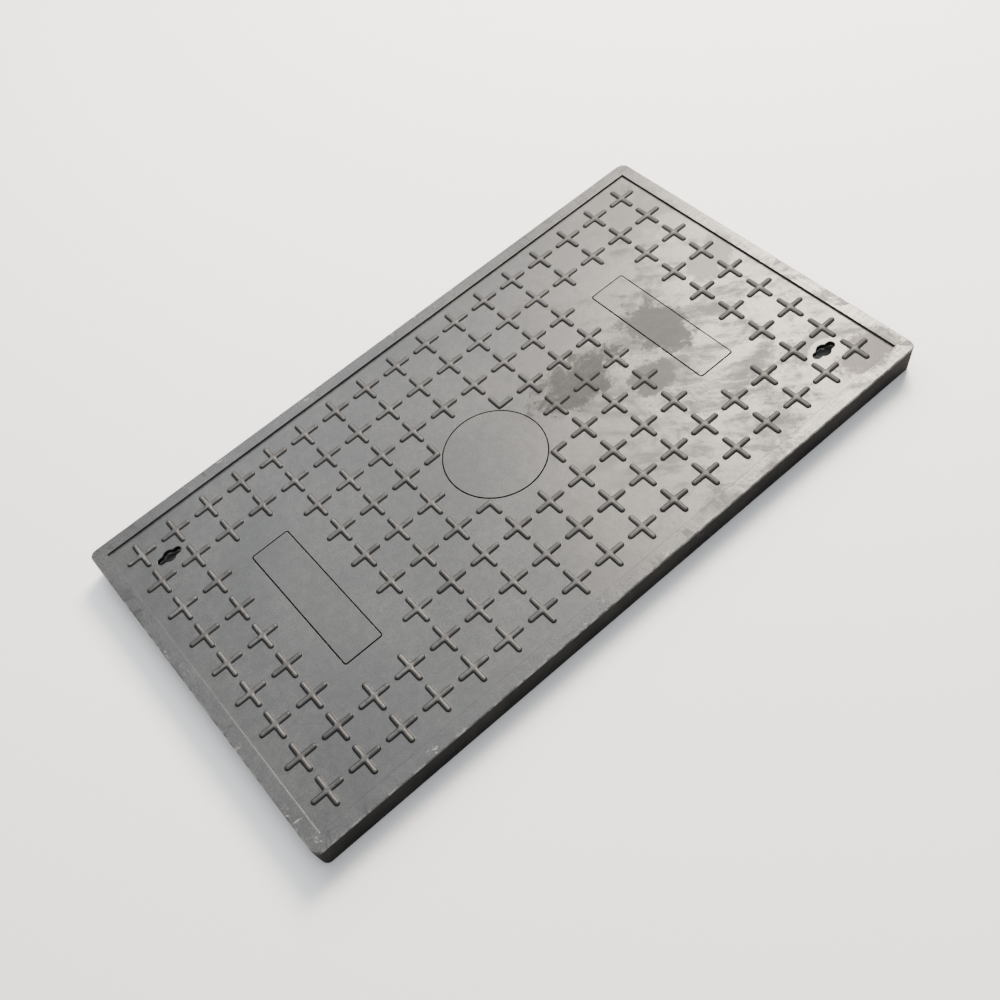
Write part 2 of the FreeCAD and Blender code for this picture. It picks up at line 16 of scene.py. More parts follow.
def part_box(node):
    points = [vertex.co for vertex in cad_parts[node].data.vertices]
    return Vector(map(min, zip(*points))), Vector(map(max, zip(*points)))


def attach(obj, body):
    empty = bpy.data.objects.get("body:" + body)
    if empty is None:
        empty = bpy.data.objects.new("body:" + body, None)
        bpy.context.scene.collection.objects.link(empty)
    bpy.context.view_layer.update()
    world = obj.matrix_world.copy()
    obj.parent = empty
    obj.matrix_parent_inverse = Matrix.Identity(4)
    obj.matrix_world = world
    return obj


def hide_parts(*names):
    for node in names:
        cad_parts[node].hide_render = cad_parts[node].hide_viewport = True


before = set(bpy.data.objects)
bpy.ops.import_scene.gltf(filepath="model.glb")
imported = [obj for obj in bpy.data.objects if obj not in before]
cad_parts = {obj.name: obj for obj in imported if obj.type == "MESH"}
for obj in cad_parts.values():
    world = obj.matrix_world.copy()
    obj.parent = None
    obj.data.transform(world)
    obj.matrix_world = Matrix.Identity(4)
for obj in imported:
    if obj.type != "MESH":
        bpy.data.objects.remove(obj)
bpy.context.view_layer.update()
print("nodes:", ", ".join(sorted(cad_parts)))

# %% [markdown]
# ## Sizes
# A mould maker works from a drawing with a few sizes, and so does this file. The slab's outer size and the
# place of each inlay and keyhole are read from the engineering model, so that the finished mesh lands
# exactly on it. The sizes of the mould's details, such as rims, slopes and roundings, are named where they
# are first needed, in metres. The sides lean, and the rounding of the top edge takes off their widest line.
# So the drawing's slab is a hair larger on each side than the model's box, by what the side leans over the
# height of that rounding.

# %% Places from the model, details from the drawing
MM = 0.001
CORNER_RADIUS = 10 * MM
SIDE_DRAFT = 2 * MM
TOP_EDGE = 1.5 * MM
FOOT_EDGE = 2 * MM
RIM_WIDTH = 18 * MM
FIELD_DEPTH = 3 * MM

low, high = (Vector(corner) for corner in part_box("deck"))
THICKNESS = high.z
TOP_DRAFT_LOSS = SIDE_DRAFT * TOP_EDGE / THICKNESS
HALF_LENGTH = high.x + TOP_DRAFT_LOSS
HALF_WIDTH = high.y + TOP_DRAFT_LOSS
FIELD_LEVEL = THICKNESS - FIELD_DEPTH
DECK_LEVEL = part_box("key_plate_right")[0][2]
print(f"slab {2000 * HALF_LENGTH:.1f} x {2000 * HALF_WIDTH:.1f} x {1000 * THICKNESS:.1f} mm,"
      f" field at {1000 * FIELD_LEVEL:.1f} mm, underside of the deck at {1000 * DECK_LEVEL:.1f} mm")

# %% [markdown]
# ## How a moulding is drawn
# Everything that a mould forms is a flat face with walls that rise or sink from closed outlines: the rim,
# the crosses, the seats, the ribs. Booleans could cut them, but they leave sharp, messy edges that a
# rounding tool then trips over. Here each wall is lofted instead: the same outline is drawn several times,
# moved in or out a little and up or down a little, and neighbouring rings are joined with quads. The
# roundings are simply more rings. A flat face is then filled between the outlines that bound it.

# %% Ring and fill helpers
def add_ring(mesh, outline, level):
    """Adds a closed ring of vertices at one level."""
    return [mesh.verts.new((x, y, level)) for x, y in outline]


def add_wall(mesh, outline_at, profile):
    """Lofts a wall and returns its rings.

    outline_at(offset) gives the outline, and profile lists (offset, level) pairs.
    """
    rings = [add_ring(mesh, outline_at(offset), level) for offset, level in profile]
    for lower, upper in zip(rings, rings[1:]):
        for index in range(len(lower)):
            following = (index + 1) % len(lower)
            mesh.faces.new((lower[index], lower[following], upper[following], upper[index]))
    return rings


def ring_edges(mesh, ring):
    """The edges of a closed ring, added where they don't exist yet."""
    edges = []
    for index, vertex in enumerate(ring):
        pair = (vertex, ring[(index + 1) % len(ring)])
        edges.append(mesh.edges.get(pair) or mesh.edges.new(pair))
    return edges


def fill_between(mesh, *rings):
    """Fills the flat face that these rings bound: one outside and any number of holes."""
    edges = [edge for ring in rings for edge in ring_edges(mesh, ring)]
    bmesh.ops.triangle_fill(mesh, use_beauty=True, use_dissolve=False, edges=edges)


def sweep_round(start, radius, steps, out, rise, along_first):
    """A quarter-round as (offset, level) pairs, from start, for a turn by (out, rise) radii.

    along_first says whether it leaves start sideways, along out, or upright, along rise.
    """
    pairs = []
    for step in range(1, steps + 1):
        angle = math.pi / 2 * step / steps
        early, late = math.sin(angle), 1 - math.cos(angle)
        sideways, upright = (early, late) if along_first else (late, early)
        pairs.append((start[0] + out * radius * sideways, start[1] + rise * radius * upright))
    return pairs


print("a round in 3 steps:", [(round(x, 3), round(z, 3)) for x, z in sweep_round((0, 0), 1, 3, 1, 1, True)])

# %% [markdown]
# ## Outlines
# Four kinds of outline make the whole cover: a round-cornered rectangle (rim, nameplates, bays), a circle
# (badge, screw holes), a cross with rounded tips, and the keyhole, which is a slot with a round middle. Each
# function takes an offset, and returns the same number of points for any offset, so that rings of different
# offsets can be joined point to point. A positive offset grows the outline.

# %% Arcs
def arc_points(centre, radius, start, end, steps):
    """Points along an arc, both ends included; angles in degrees."""
    angles = [math.radians(start + (end - start) * step / steps) for step in range(steps + 1)]
    return [(centre[0] + radius * math.cos(angle), centre[1] + radius * math.sin(angle))
            for angle in angles]


print("points on a quarter of a circle:", len(arc_points((0, 0), 1, 0, 90, 6)))

# %% Rectangle, circle and keyhole
SMALLEST_ROUND = 0.2 * MM


def rectangle_outline(centre, half_x, half_y, corner, steps=6):
    """A round-cornered rectangle as a function of its offset."""
    def at(offset):
        radius = max(corner + offset, SMALLEST_ROUND)
        reach_x, reach_y = half_x + offset - radius, half_y + offset - radius
        points = []
        for quarter, (side_x, side_y) in enumerate(((1, 1), (-1, 1), (-1, -1), (1, -1))):
            bend = (centre[0] + side_x * reach_x, centre[1] + side_y * reach_y)
            points += arc_points(bend, radius, 90 * quarter, 90 * quarter + 90, steps)
        return points
    return at


def circle_outline(centre, radius, steps):
    """A circle as a function of its offset."""
    def at(offset):
        return arc_points(centre, radius + offset, 0, 360, steps)[:-1]
    return at


def keyhole_outline(centre, half_length, half_width, eye_radius, steps=8):
    """A round-ended slot with a round middle, as a function of its offset."""
    def at(offset):
        end, eye = half_width + offset, eye_radius + offset
        reach = half_length - half_width
        meet = math.degrees(math.asin(end / eye))
        x, y = centre
        return (arc_points((x + reach, y), end, -90, 90, steps)
                + arc_points(centre, eye, meet, 180 - meet, steps)
                + arc_points((x - reach, y), end, 90, 270, steps)
                + arc_points(centre, eye, 180 + meet, 360 - meet, steps))
    return at


plain_shell = rectangle_outline((0, 0), HALF_LENGTH, HALF_WIDTH, CORNER_RADIUS, steps=8)
print("the slab's plain outline:", len(plain_shell(0)), "points")

# %% [markdown]
# ## The outer shell
# The slab's sides lean in towards the foot, because the moulding has to leave its mould upwards. The shell
# starts at the foot, goes up the side, rounds the worn top edge, crosses the flat rim, and drops over a small
# lip to the tread field. One list of (offset, level) pairs says all of that. The straight sides get a point
# every few millimetres, because the next step wears the edge.

# %% Outer shell
EDGE_SPACING = 4 * MM
LIP = 0.7 * MM


def shell_outline(offset):
    """The slab's outline with its straight sides divided."""
    corners = plain_shell(offset)
    even = plain_shell(0)
    points = []
    for index, point in enumerate(corners):
        points.append(point)
        following = (index + 1) % len(corners)
        side_length = math.dist(even[index], even[following])
        if side_length > CORNER_RADIUS:
            pieces = round(side_length / EDGE_SPACING)
            points += [tuple(Vector(point).lerp(Vector(corners[following]), number / pieces))
                       for number in range(1, pieces)]
    return points


def side_offset(level):
    """How far the side stands in at a level."""
    return -SIDE_DRAFT * (1 - level / THICKNESS)


foot = (side_offset(FOOT_EDGE) - FOOT_EDGE, 0)
shoulder = (side_offset(THICKNESS - TOP_EDGE), THICKNESS - TOP_EDGE)
rim_end = (-RIM_WIDTH + LIP, THICKNESS)
lip_foot = (-RIM_WIDTH, FIELD_LEVEL + LIP)
shell_profile = [foot, *sweep_round(foot, FOOT_EDGE, 4, 1, 1, along_first=True),
                 shoulder, *sweep_round(shoulder, TOP_EDGE, 5, -1, 1, along_first=False),
                 rim_end, *sweep_round(rim_end, LIP, 3, -1, -1, along_first=True),
                 lip_foot, *sweep_round(lip_foot, LIP, 3, -1, -1, along_first=False)]

moulding = bmesh.new()
# a number on each vertex: wear from chips, and on the crosses a painted shade and a painted highlight
wear_and_painted_light = moulding.verts.layers.float.new("wear_and_painted_light")
shell_rings = add_wall(moulding, shell_outline, shell_profile)
foot_ring, field_ring = shell_rings[0], shell_rings[-1]
print("shell:", len(shell_rings), "rings of", len(foot_ring), "points")

# %% [markdown]
# ## Chips along the edge
# A cover is dragged, levered and dropped, and its top edge loses small flakes all along, most of them at
# the corners. A flake could be cut with a boolean, but there are dozens, and they only need to break the
# clean line. So each vertex of the edge's rounding is pushed in and down by a little noise, where the noise
# is high. A number kept on each vertex tells the finish later where the flakes are; the crosses use the same
# number for a painted shade and a painted highlight.

# %% Chip the top edge
CHIP_DEPTH, DEEPEST_CHIP = 1.1 * MM, 0.8 * MM
CHIP_LEVEL = 0.55
CHIP_SHARES = (0.2, 0.7, 1, 1, 0.7, 0.25)
CHIP_FALL = Vector((0, 0, -0.7))
FULL_WEAR_BITE = 0.2 * MM
CORNER_EXTRA, CORNER_REACH = 0.45, 30 * MM


def raggedness(spot):
    """How ragged the edge is at a spot: coarse and fine noise, and more at a corner."""
    corner = Vector((math.copysign(HALF_LENGTH, spot.x), math.copysign(HALF_WIDTH, spot.y), 0))
    coarse = noise.noise(spot * 55)
    fine = noise.noise(spot * 170 + Vector((0, 0, 5)))
    return coarse + 0.6 * fine + CORNER_EXTRA * max(0, 1 - (spot - corner).length / CORNER_REACH)


edge_start = shell_profile.index(shoulder)
edge_rings = shell_rings[edge_start:edge_start + len(CHIP_SHARES)]
chipped = 0
for index, (point, inner) in enumerate(zip(shell_outline(0), shell_outline(-MM))):
    spot = Vector((*point, 0))
    inward = (Vector((*inner, 0)) - spot).normalized()
    bite = min(CHIP_DEPTH * max(0, raggedness(spot) - CHIP_LEVEL), DEEPEST_CHIP)
    chipped += bite > 0
    for ring, share in zip(edge_rings, CHIP_SHARES):
        ring[index].co += (inward + CHIP_FALL) * bite * share
        ring[index][wear_and_painted_light] = min(1, bite / FULL_WEAR_BITE)
print("chipped points:", chipped, "of", len(foot_ring))

# %% [markdown]
# ## The tread crosses
# Each cross is moulded in one with the field. The outline has round tips and a small round in each inner
# corner. Crosses stand on an even grid, and are left out, or lose the arms, where an inlay needs room.

# %% Where the crosses stand
PITCH = 50 * MM
EDGE_MARGIN = 50 * MM
GRID_PLAY = 0.01 * MM
ARM_REACH, ARM_HALF = 21 * MM, 3.5 * MM
INLAY_CLEARANCE = 2 * MM
DIRECTIONS = [Vector((1, 0)), Vector((0, 1)), Vector((-1, 0)), Vector((0, -1))]

badge_low, badge_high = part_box("centre_badge")
plate_low, plate_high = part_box("nameplate_right")
BADGE_RADIUS = (badge_high[0] - badge_low[0]) / 2
PLATE_X = (plate_low[0] + plate_high[0]) / 2
PLATE_HALF = Vector((plate_high[0] - plate_low[0], plate_high[1] - plate_low[1])) / 2


def clear_of_inlays(point):
    """Whether a piece of tread at a point leaves the badge and the nameplates bare."""
    from_badge = point.length - BADGE_RADIUS
    beside = abs(abs(point.x) - PLATE_X) - PLATE_HALF.x - ARM_HALF
    beyond = abs(point.y) - PLATE_HALF.y - ARM_HALF
    return from_badge > INLAY_CLEARANCE and max(beside, beyond) > INLAY_CLEARANCE


def tread_places():
    """Yields the centre and the arm directions of each cross."""
    along = math.floor((HALF_LENGTH - EDGE_MARGIN + GRID_PLAY) / PITCH)
    across = math.floor((HALF_WIDTH - EDGE_MARGIN + GRID_PLAY) / PITCH)
    for x_step in range(-along, along + 1):
        for y_step in range(-across, across + 1):
            centre = Vector((x_step, y_step)) * PITCH
            if clear_of_inlays(centre):
                yield centre, [ahead for ahead in DIRECTIONS
                               if clear_of_inlays(centre + ahead * ARM_REACH)]


places = list(tread_places())
print(len(places), "crosses,", sum(len(arms) < 4 for _, arms in places), "of them with fewer arms")

# %% The outline of a cross
INNER_ROUND, SHARPEST_INNER = 0.8 * MM, 0.05 * MM


def cross_outline(centre, arms, steps=6, inner_steps=2):
    """A cross with rounded tips and inner corners, as a function of its offset."""
    def at(offset):
        half = ARM_HALF + offset
        inner = max(INNER_ROUND - offset, SHARPEST_INNER)
        points = []
        for quarter, ahead in enumerate(DIRECTIONS):
            side = DIRECTIONS[(quarter + 1) % 4]
            angle = 90 * quarter
            if ahead in arms:
                tip = centre + ahead * (ARM_REACH - ARM_HALF)
                points += arc_points(tip, half, angle - 90, angle + 90, steps)
            if ahead in arms and side in arms:
                bend = centre + (ahead + side) * (half + inner)
                points += arc_points(bend, inner, angle + 270, angle + 180, inner_steps)
            elif ahead not in arms and side not in arms:
                points += arc_points(centre, half, angle, angle + 90, steps)
        return points
    return at


print("a whole cross has", len(cross_outline(*places[0])(0)), "points")

# %% [markdown]
# ## Flanks and ridges
# A cross swells out of the field with a small fillet, and its flanks lean over more and more, up to a soft
# ridge that boots and tyres have rubbed. A flat top with rounded edges is easier, but catches the light like
# a tile. So the section is one long arc, from a steep start to a shallow end. No two crosses are alike:
# chance makes each a little lower, and its ridge a little paler, most of all at the -X end; that paleness is
# rubbed resin and also a painted highlight. The number kept on the vertices is middling on the flanks, where
# it makes the skin duller and lays a painted shade, and higher on the ridge towards the -X end.

# %% Raise the crosses
CROSS_FOOT = [(0.5 * MM, 0), (0.12 * MM, 0.12 * MM)]
CROWN_START, CROWN_REACH = 0.4 * MM, 3.4 * MM
CROWN_TURN, CROWN_STEPS = math.radians(58), 8
RIDGE_RINGS = 3
# the flanks' number: a duller skin and a painted shade
DULLED_AND_SHADED = 0.3
LOWEST_SHARE = 0.9
LEAST_RUB_AND_HIGHLIGHT, MOST_RUB_AND_HIGHLIGHT = 0.1, 0.6


def set_wear_and_painted_light(rings, amount):
    """Keeps a number on every vertex of these rings, which the finish reads as wear, painted shade and
    painted highlight.
    """
    for ring in rings:
        for vertex in ring:
            vertex[wear_and_painted_light] = amount


crown = []
for step in range(CROWN_STEPS + 1):
    turn = CROWN_TURN * step / CROWN_STEPS
    inwards = (1 - math.cos(turn)) / (1 - math.cos(CROWN_TURN))
    upwards = math.sin(turn) / math.sin(CROWN_TURN)
    crown.append((-CROWN_REACH * inwards, CROWN_START + (FIELD_DEPTH - CROWN_START) * upwards))

random.seed(7)
cross_feet = []
for centre, arms in places:
    height = random.uniform(LOWEST_SHARE, 1)
    # the ridge's number: paler rubbed resin and a painted highlight, most at the -X end
    rub_and_highlight = DULLED_AND_SHADED + random.uniform(LEAST_RUB_AND_HIGHLIGHT, MOST_RUB_AND_HIGHLIGHT) * (0.5 - 0.5 * centre.x / HALF_LENGTH)
    profile = [(offset, FIELD_LEVEL + height * level) for offset, level in CROSS_FOOT + crown]
    rings = add_wall(moulding, cross_outline(centre, arms), profile)
    cross_feet.append(rings[0])
    set_wear_and_painted_light(rings[len(CROSS_FOOT):-RIDGE_RINGS], DULLED_AND_SHADED)
    set_wear_and_painted_light(rings[-RIDGE_RINGS:], rub_and_highlight)
    fill_between(moulding, rings[-1])
print("vertices so far:", len(moulding.verts))

# %% [markdown]
# ## Seats for the inlays
# The badge and the two nameplates lie in shallow seats, with a narrow gap all round that reads as a fine dark
# line. A seat is a short lip, a straight wall and a flat floor.

# %% Inlay seats
INLAY_GAP = 0.5 * MM
SEAT_LIP = 0.25 * MM
PLATE_CORNER = 3 * MM
BADGE_STEPS = 96
seat_floor = badge_low[2]


def sink_seat(outline_at):
    """Sinks a seat from the field and returns its upper ring."""
    upper = (SEAT_LIP, FIELD_LEVEL)
    profile = [upper, *sweep_round(upper, SEAT_LIP, 2, -1, -1, along_first=True), (0, seat_floor)]
    rings = add_wall(moulding, outline_at, profile)
    fill_between(moulding, rings[-1])
    return rings[0]


seats = [sink_seat(circle_outline((0, 0), BADGE_RADIUS + INLAY_GAP, BADGE_STEPS))]
for side in (1, -1):
    seats.append(sink_seat(rectangle_outline((side * PLATE_X, 0), PLATE_HALF.x + INLAY_GAP,
                                             PLATE_HALF.y + INLAY_GAP, PLATE_CORNER + INLAY_GAP)))
print(len(seats), f"seats, {1000 * (FIELD_LEVEL - seat_floor):.1f} mm deep")

# %% [markdown]
# ## Keyholes
# A lifting key with a T-shaped end drops through the slot, turns a quarter, and pulls up against a steel
# plate under the deck. The hole goes right through, so the wall stops at the seat where that plate is let
# in. Two blind holes in the seat take the plate's screws.

# %% Keyholes through the deck
KEY_LENGTH, KEY_WIDTH, KEY_EYE = 33 * MM, 9.5 * MM, 17 * MM
KEY_LIP = 1.1 * MM
KEY_PLATE_GAP = 0.5 * MM
KEY_PLATE_CORNER = 5 * MM
SCREW_HEAD = 4 * MM
SCREW_HOLE, SCREW_HOLE_TOP = 2.05 * MM, FIELD_LEVEL - 1 * MM


def drill_screw_holes(side, middle, level):
    """Drills up from a key plate's seat for its two screws, and returns the lower rings."""
    screws_low, screws_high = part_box(f"key_plate_screws_{side}")
    reach = (screws_high[0] - screws_low[0]) / 2 - SCREW_HEAD
    lower_rings = []
    for direction in (-1, 1):
        screw_at = circle_outline((middle.x + direction * reach, middle.y), SCREW_HOLE, 20)
        start, tip = add_wall(moulding, screw_at, [(0, level), (0, SCREW_HOLE_TOP)])
        fill_between(moulding, tip)
        lower_rings.append(start)
    return lower_rings


def cut_keyhole(side):
    """Cuts a keyhole and its plate's seat: (upper ring, middle, lower ring of the seat)."""
    plate_floor, plate_top = (Vector(corner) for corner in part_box(f"key_plate_{side}"))
    middle = ((plate_floor + plate_top) / 2).xy
    half = ((plate_top - plate_floor) / 2).xy
    hole_at = keyhole_outline(middle, KEY_LENGTH / 2, KEY_WIDTH / 2, KEY_EYE / 2)
    upper = (KEY_LIP, FIELD_LEVEL)
    hole = add_wall(moulding, hole_at,
                    [upper, *sweep_round(upper, KEY_LIP, 4, -1, -1, along_first=True), (0, plate_top.z)])
    seat_at = rectangle_outline(middle, half.x + KEY_PLATE_GAP, half.y + KEY_PLATE_GAP,
                                KEY_PLATE_CORNER + KEY_PLATE_GAP)
    ceiling, mouth = add_wall(moulding, seat_at, [(0, plate_top.z), (0, DECK_LEVEL)])
    fill_between(moulding, ceiling, hole[-1], *drill_screw_holes(side, middle, plate_top.z))
    return hole[0], middle, mouth


keyholes = [cut_keyhole(side) for side in ("right", "left")]
print("keyholes at", [(round(middle.x, 3), round(middle.y, 3)) for _, middle, _ in keyholes])

# %% Close the tread field
fill_between(moulding, field_ring, *cross_feet, *seats, *[upper_ring for upper_ring, _, _ in keyholes])
print("faces on top:", len(moulding.faces))

# %% [markdown]
# ## The ribbed underside
# A solid slab would be too heavy, so the underside is a grid of open bays between ribs. Each bay is a wall
# that leans in as it goes up, with a rounded foot and a generous fillet at the ceiling, where resin would
# otherwise crack. The ribs are what is left between the bays, and steel bars run inside them. The outer ribs
# stand as far out as the key plates' seats allow, and the others are spread evenly between them.

# %% Where the bays are
SKIRT = 24 * MM
RIB_HALF = 8 * MM
KEY_PLATE_ROOM = 1 * MM
BAYS_ALONG, BAYS_ACROSS = 5, 2


def clear_spans(half_size, outer_rib, bays):
    """Clear spans between the skirts and the ribs, with this many bays between the outer ribs."""
    walls = [-half_size + SKIRT]
    for number in range(bays + 1):
        line = -outer_rib + number * 2 * outer_rib / bays
        walls += [line - RIB_HALF, line + RIB_HALF]
    walls.append(half_size - SKIRT)
    return list(zip(walls[::2], walls[1::2]))


plate_floor, plate_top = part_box("key_plate_right")
seat_room = KEY_PLATE_GAP + KEY_PLATE_ROOM + RIB_HALF
long_spans = clear_spans(HALF_LENGTH, plate_floor[0] - seat_room, BAYS_ALONG)
short_spans = clear_spans(HALF_WIDTH, -plate_top[1] - seat_room, BAYS_ACROSS)
print("bays:", len(long_spans), "along,", len(short_spans), "across")

# %% Bays
BAY_CORNER, BAY_FILLET, BAY_LIP = 4 * MM, 3 * MM, 1 * MM
BAY_DRAFT = 0.5 * MM
bay_foot, fillet_foot = (BAY_LIP, 0), (-BAY_DRAFT, DECK_LEVEL - BAY_FILLET)
bay_profile = [bay_foot, *sweep_round(bay_foot, BAY_LIP, 3, -1, 1, along_first=True),
               fillet_foot, *sweep_round(fillet_foot, BAY_FILLET, 4, -1, 1, along_first=False)]
bay_mouths = []
for x0, x1 in long_spans:
    for y0, y1 in short_spans:
        centre = ((x0 + x1) / 2, (y0 + y1) / 2)
        outline = rectangle_outline(centre, (x1 - x0) / 2, (y1 - y0) / 2, BAY_CORNER, steps=5)
        bay = add_wall(moulding, outline, bay_profile)
        bay_mouths.append(bay[0])
        seats_here = [mouth for _, middle, mouth in keyholes
                      if x0 < middle.x < x1 and y0 < middle.y < y1]
        fill_between(moulding, bay[-1], *seats_here)
fill_between(moulding, foot_ring, *bay_mouths)
print(len(bay_mouths), "bays")

# %% [markdown]
# ## From rings to an object
# The rings and fills now close into one watertight skin. Its faces are turned to point outwards, shading is
# smooth, and a Weighted Normal modifier lets the big flat faces decide the shading of their edges, so the
# roundings catch light without smearing it over the flats. The moulding's faces take one of two finishes:
# 0 on the tread, and 1 below it, in the keyholes and on the sides and the underside.

# %% Finish the moulding
WELD = 0.001 * MM
FLAT_FACES_LEAD = 80
TREAD_SKIN_DEPTH = 1.3 * MM


def finish_piece(mesh, name, slot_name, *nodes):
    """Turns a bmesh into a smooth, riding piece that stands for nodes of the engineering model."""
    bmesh.ops.remove_doubles(mesh, verts=mesh.verts, dist=WELD)
    bmesh.ops.recalc_face_normals(mesh, faces=mesh.faces)
    open_edges = sum(not edge.is_manifold for edge in mesh.edges)
    volume = mesh.calc_volume()
    data = bpy.data.meshes.new(name)
    mesh.to_mesh(data)
    mesh.free()
    data.shade_smooth()
    piece = bpy.data.objects.new(name, data)
    bpy.context.scene.collection.objects.link(piece)
    normals = piece.modifiers.new("flat faces lead", "WEIGHTED_NORMAL")
    normals.weight = FLAT_FACES_LEAD
    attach(piece, "root")
    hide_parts(*nodes)
    print(f"{name}: {len(data.polygons)} faces, {open_edges} open edges, {1e6 * volume:.0f} cm3")
    return piece


# finish 1 is darker than finish 0, a painted shade on the sides, the underside and the keyhole walls
for face in moulding.faces:
    face.material_index = int(face.calc_center_median().z < FIELD_LEVEL - TREAD_SKIN_DEPTH)
deck_moulding = finish_piece(moulding, "deck_moulding", "composite", "deck")

# %% [markdown]
# ## Inlays
# The three inlays are plain discs and plates of the same family of resin, a hair proud of the field, with a
# softened edge. They are blank. Each is drawn a little smaller than its seat, so that the shadow in the gap
# is wide enough to see.

# %% Badge and nameplates
INLAY_EDGE = 0.35 * MM
INLAY_SHRINK = 0.9 * MM


def make_inlay(name, outline_at, base, top):
    """A flat inlay with a rounded upper edge."""
    mesh = bmesh.new()
    upper = (-INLAY_SHRINK, top - INLAY_EDGE)
    rings = add_wall(mesh, outline_at, [(-INLAY_SHRINK, base), upper,
                                        *sweep_round(upper, INLAY_EDGE, 3, -1, 1, along_first=False)])
    fill_between(mesh, rings[0])
    fill_between(mesh, rings[-1])
    return finish_piece(mesh, f"{name}_inlay", "inlay", name)


inlays = [make_inlay("centre_badge", circle_outline((0, 0), BADGE_RADIUS, BADGE_STEPS),
                     badge_low[2], badge_high[2])]
for side, direction in (("right", 1), ("left", -1)):
    outline = rectangle_outline((direction * PLATE_X, 0), PLATE_HALF.x, PLATE_HALF.y, PLATE_CORNER)
    inlays.append(make_inlay(f"nameplate_{side}", outline, plate_low[2], plate_high[2]))

# %% [markdown]
# ## How a finish is built
# A finish here is a small graph of nodes that reads the position on the piece, in metres, so every grain,
# blotch and scratch has its true size. The helpers below each add one node and hand back its result. A plain
# number is set on a socket, and a result from another node is linked to it.

# %% Start, feed and calculate
def start_finish(name, **constants):
    """A new node material with constants set on its shader: (material, node tree, place)."""
    material = bpy.data.materials.new(name)
    material.use_nodes = True
    tree = material.node_tree
    for socket, value in constants.items():
        tree.nodes["Principled BSDF"].inputs[socket.replace("_", " ")].default_value = value
    return material, tree, tree.nodes.new("ShaderNodeTexCoord").outputs["Object"]


def feed(tree, socket, value):
    """Sets a socket to a plain value, or links it to another node's result."""
    if isinstance(value, bpy.types.NodeSocket):
        tree.links.new(value, socket)
    else:
        socket.default_value = value


def finish_with(material, **results):
    """Feeds the shader's own sockets, and says how large the finish has become."""
    tree = material.node_tree
    for socket, result in results.items():
        feed(tree, tree.nodes["Principled BSDF"].inputs[socket.replace("_", " ")], result)
    print(f"{material.name}: {len(tree.nodes)} nodes")


def calculate(tree, operation, *values):
    """One sum, product, minimum or the like."""
    node = tree.nodes.new("ShaderNodeMath")
    node.operation = operation
    for socket, value in zip(node.inputs, values):
        feed(tree, socket, value)
    return node.outputs[0]

# %% Patterns and mixes
def mottle(tree, place, size, detail=3.0, roughness=0.55, distortion=0.0):
    """Noise from 0 to 1 whose blotches are about as large as size, in metres."""
    node = tree.nodes.new("ShaderNodeTexNoise")
    feed(tree, node.inputs["Vector"], place)
    for socket, value in (("Scale", 1 / size), ("Detail", detail), ("Roughness", roughness),
                          ("Distortion", distortion)):
        node.inputs[socket].default_value = value
    return node.outputs["Fac"]


def remap(tree, value, start, end, to_start=0.0, to_end=1.0):
    """Moves a range of values to another, smoothly and without running past its ends."""
    node = tree.nodes.new("ShaderNodeMapRange")
    node.interpolation_type = "SMOOTHSTEP"
    for socket, number in zip(node.inputs, (value, start, end, to_start, to_end)):
        feed(tree, socket, number)
    return node.outputs[0]


def blend(tree, factor, first, second, mode="MIX"):
    """Mixes two colours."""
    node = tree.nodes.new("ShaderNodeMix")
    node.data_type, node.blend_type = "RGBA", mode
    feed(tree, node.inputs["Factor"], factor)
    feed(tree, node.inputs["A"], first)
    feed(tree, node.inputs["B"], second)
    return node.outputs["Result"]


def tint(tree, colour, mask, share, other):
    """Lays up to a share of another colour over a colour, where the mask is 1."""
    return blend(tree, calculate(tree, "MULTIPLY", mask, share), colour, other)

# %% Strokes, places and bumps
def stretched(tree, place, length, width, turn, slide=0.0):
    """Coordinates turned and squeezed, so that noise of size 1 comes out as strokes."""
    turned = tree.nodes.new("ShaderNodeMapping")
    turned.inputs["Rotation"].default_value = (0, 0, math.radians(turn))
    turned.inputs["Location"].default_value = (slide, slide, 0)
    squeezed = tree.nodes.new("ShaderNodeMapping")
    squeezed.inputs["Scale"].default_value = (1 / length, 1 / width, 1 / width)
    feed(tree, turned.inputs["Vector"], place)
    feed(tree, squeezed.inputs["Vector"], turned.outputs[0])
    return squeezed.outputs[0]


def separate(tree, place):
    """The x and y of a place."""
    node = tree.nodes.new("ShaderNodeSeparateXYZ")
    feed(tree, node.inputs[0], place)
    return node.outputs[0], node.outputs[1]


def oval_distance(tree, x, y, centre_x, centre_y, reach_x, reach_y):
    """0 in the middle of an oval, 1 on its edge."""
    across = calculate(tree, "MULTIPLY_ADD", x, 1 / reach_x, -centre_x / reach_x)
    along = calculate(tree, "MULTIPLY_ADD", y, 1 / reach_y, -centre_y / reach_y)
    return calculate(tree, "SQRT", calculate(tree, "ADD", calculate(tree, "POWER", across, 2.0),
                                             calculate(tree, "POWER", along, 2.0)))


def raise_surface(tree, height, depth, under=None):
    """Bumps the surface by height times depth, in metres, on top of an earlier bump."""
    node = tree.nodes.new("ShaderNodeBump")
    node.inputs["Distance"].default_value = depth
    feed(tree, node.inputs["Height"], height)
    if under:
        feed(tree, node.inputs["Normal"], under)
    return node.outputs[0]


def raise_layers(tree, *layers):
    """Bumps the surface by several (height, depth) layers, one on top of another."""
    surface = None
    for height, depth in layers:
        surface = raise_surface(tree, height, depth, surface)
    return surface

# %% [markdown]
# ## The moulded composite
# The real material is polyester resin with ground stone and glass, pressed hot in a steel mould. Its skin is
# dark grey and satin. Where the paste flowed and met, the skin is glossier or duller in clouds and slanted
# wisps, which show only in a glancing light, and water and boots leave dull patches with ragged edges. Round
# a keyhole the skin stays glossy, where the key's shank wipes it. All of this belongs in the roughness, not
# in the colour. Each patch is a listed oval whose edge a fine noise frays.

